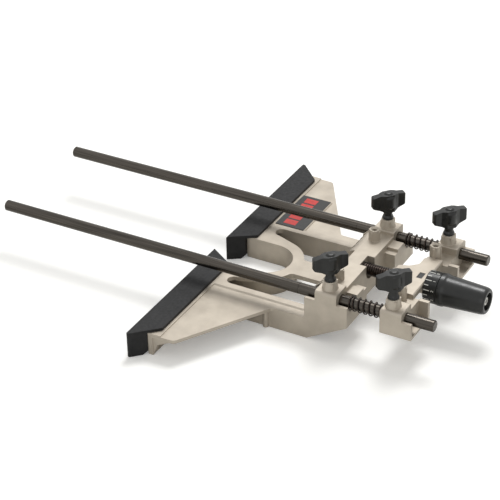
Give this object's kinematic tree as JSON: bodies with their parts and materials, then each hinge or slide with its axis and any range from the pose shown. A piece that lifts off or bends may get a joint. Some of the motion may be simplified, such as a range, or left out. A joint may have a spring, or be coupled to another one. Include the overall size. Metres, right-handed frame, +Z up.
{
  "type": "router edge guide",
  "caption": "Parallel edge guide for a router: twin plastic fence shoes on a cast frame, two long guide rods, wing screws and a dial for fine adjustment.",
  "frame": {"origin": "middle of the whole guide's footprint, at the face that lies on the work", "axes": "+X along the rods from the fence towards the adjuster's knob, +Y across the guide to the rear rod, +Z up from the work"},
  "size_m": [0.448, 0.319, 0.0841],
  "materials": {
    "cast_aluminium": "bead blasted, satin",
    "moulded_black": "fine moulded texture, matt",
    "label_black": "printed foil, satin",
    "knob_black": "moulded, semi-gloss",
    "rod_steel": "drawn bar, dark and bright along its length",
    "black_steel": "blackened",
    "bright_steel": "zinc plated"
  },
  "bodies": {
    "guide": {"guide_casting": "cast_aluminium", "fence_shoe_front": "moulded_black", "fence_shoe_rear": "moulded_black", "shoe_screws": "bright_steel", "label_plate": "label_black"},
    "bridge": {"bridge_casting": "cast_aluminium", "pointer_insert": "label_black", "thrust_washer": "bright_steel", "spring_front": "black_steel", "spring_rear": "black_steel"},
    "rod_front": {"rod_front": "rod_steel"},
    "rod_rear": {"rod_rear": "rod_steel"},
    "knob": {"adjuster_knob": "knob_black", "adjuster_spindle": "black_steel", "spindle_ring": "bright_steel", "nose_screw": "bright_steel"},
    "dial": {"dial_ring": "knob_black"},
    "stud_guide_front": {"clamp_stud_guide_front": "black_steel"},
    "wing_guide_front": {"wing_knob_guide_front": "knob_black"},
    "stud_guide_rear": {"clamp_stud_guide_rear": "black_steel"},
    "wing_guide_rear": {"wing_knob_guide_rear": "knob_black"},
    "stud_bridge_front": {"clamp_stud_bridge_front": "black_steel"},
    "wing_bridge_front": {"wing_knob_bridge_front": "knob_black"},
    "stud_bridge_rear": {"clamp_stud_bridge_rear": "black_steel"},
    "wing_bridge_rear": {"wing_knob_bridge_rear": "knob_black"}
  },
  "joints": [
    {"name": "fine_slide", "type": "slide", "parent": "guide", "child": "bridge", "axis": [1, 0, 0], "range_m": [-0.015, 0], "deforming": ["spring_front", "spring_rear"]},
    {"name": "adjuster_turn", "type": "hinge", "parent": "bridge", "child": "knob", "pos_m": [0.1867, 0, 0.039], "axis": [1, 0, 0], "range_deg": [-2700, 0]},
    {"name": "dial_turn", "type": "hinge", "parent": "knob", "child": "dial", "pos_m": [0.1737, 0, 0.039], "axis": [1, 0, 0], "continuous": true},
    {"name": "rod_front_slide", "type": "slide", "parent": "bridge", "child": "rod_front", "axis": [1, 0, 0], "range_m": [-0.017, 0.17]},
    {"name": "rod_rear_slide", "type": "slide", "parent": "bridge", "child": "rod_rear", "axis": [1, 0, 0], "range_m": [-0.017, 0.17]},
    {"name": "stud_guide_front_lift", "type": "slide", "parent": "guide", "child": "stud_guide_front", "axis": [0, 0, 1], "range_m": [0, 0.00125]},
    {"name": "wing_guide_front_turn", "type": "hinge", "parent": "stud_guide_front", "child": "wing_guide_front", "pos_m": [0.1051, -0.056, 0.07], "axis": [0, 0, 1], "range_deg": [0, 450]},
    {"name": "stud_guide_rear_lift", "type": "slide", "parent": "guide", "child": "stud_guide_rear", "axis": [0, 0, 1], "range_m": [0, 0.00125]},
    {"name": "wing_guide_rear_turn", "type": "hinge", "parent": "stud_guide_rear", "child": "wing_guide_rear", "pos_m": [0.1051, 0.056, 0.07], "axis": [0, 0, 1], "range_deg": [0, 450]},
    {"name": "stud_bridge_front_lift", "type": "slide", "parent": "bridge", "child": "stud_bridge_front", "axis": [0, 0, 1], "range_m": [0, 0.00125]},
    {"name": "wing_bridge_front_turn", "type": "hinge", "parent": "stud_bridge_front", "child": "wing_bridge_front", "pos_m": [0.16305, -0.056, 0.07], "axis": [0, 0, 1], "range_deg": [0, 450]},
    {"name": "stud_bridge_rear_lift", "type": "slide", "parent": "bridge", "child": "stud_bridge_rear", "axis": [0, 0, 1], "range_m": [0, 0.00125]},
    {"name": "wing_bridge_rear_turn", "type": "hinge", "parent": "stud_bridge_rear", "child": "wing_bridge_rear", "pos_m": [0.16305, 0.056, 0.07], "axis": [0, 0, 1], "range_deg": [0, 450]}
  ],
  "couplings": [
    {"joint": "adjuster_turn", "follows": "fine_slide", "rad_per_m": 3141.6},
    {"joint": "wing_guide_front_turn", "follows": "stud_guide_front_lift", "rad_per_m": 6283.2},
    {"joint": "wing_guide_rear_turn", "follows": "stud_guide_rear_lift", "rad_per_m": 6283.2},
    {"joint": "wing_bridge_front_turn", "follows": "stud_bridge_front_lift", "rad_per_m": 6283.2},
    {"joint": "wing_bridge_rear_turn", "follows": "stud_bridge_rear_lift", "rad_per_m": 6283.2}
  ]
}
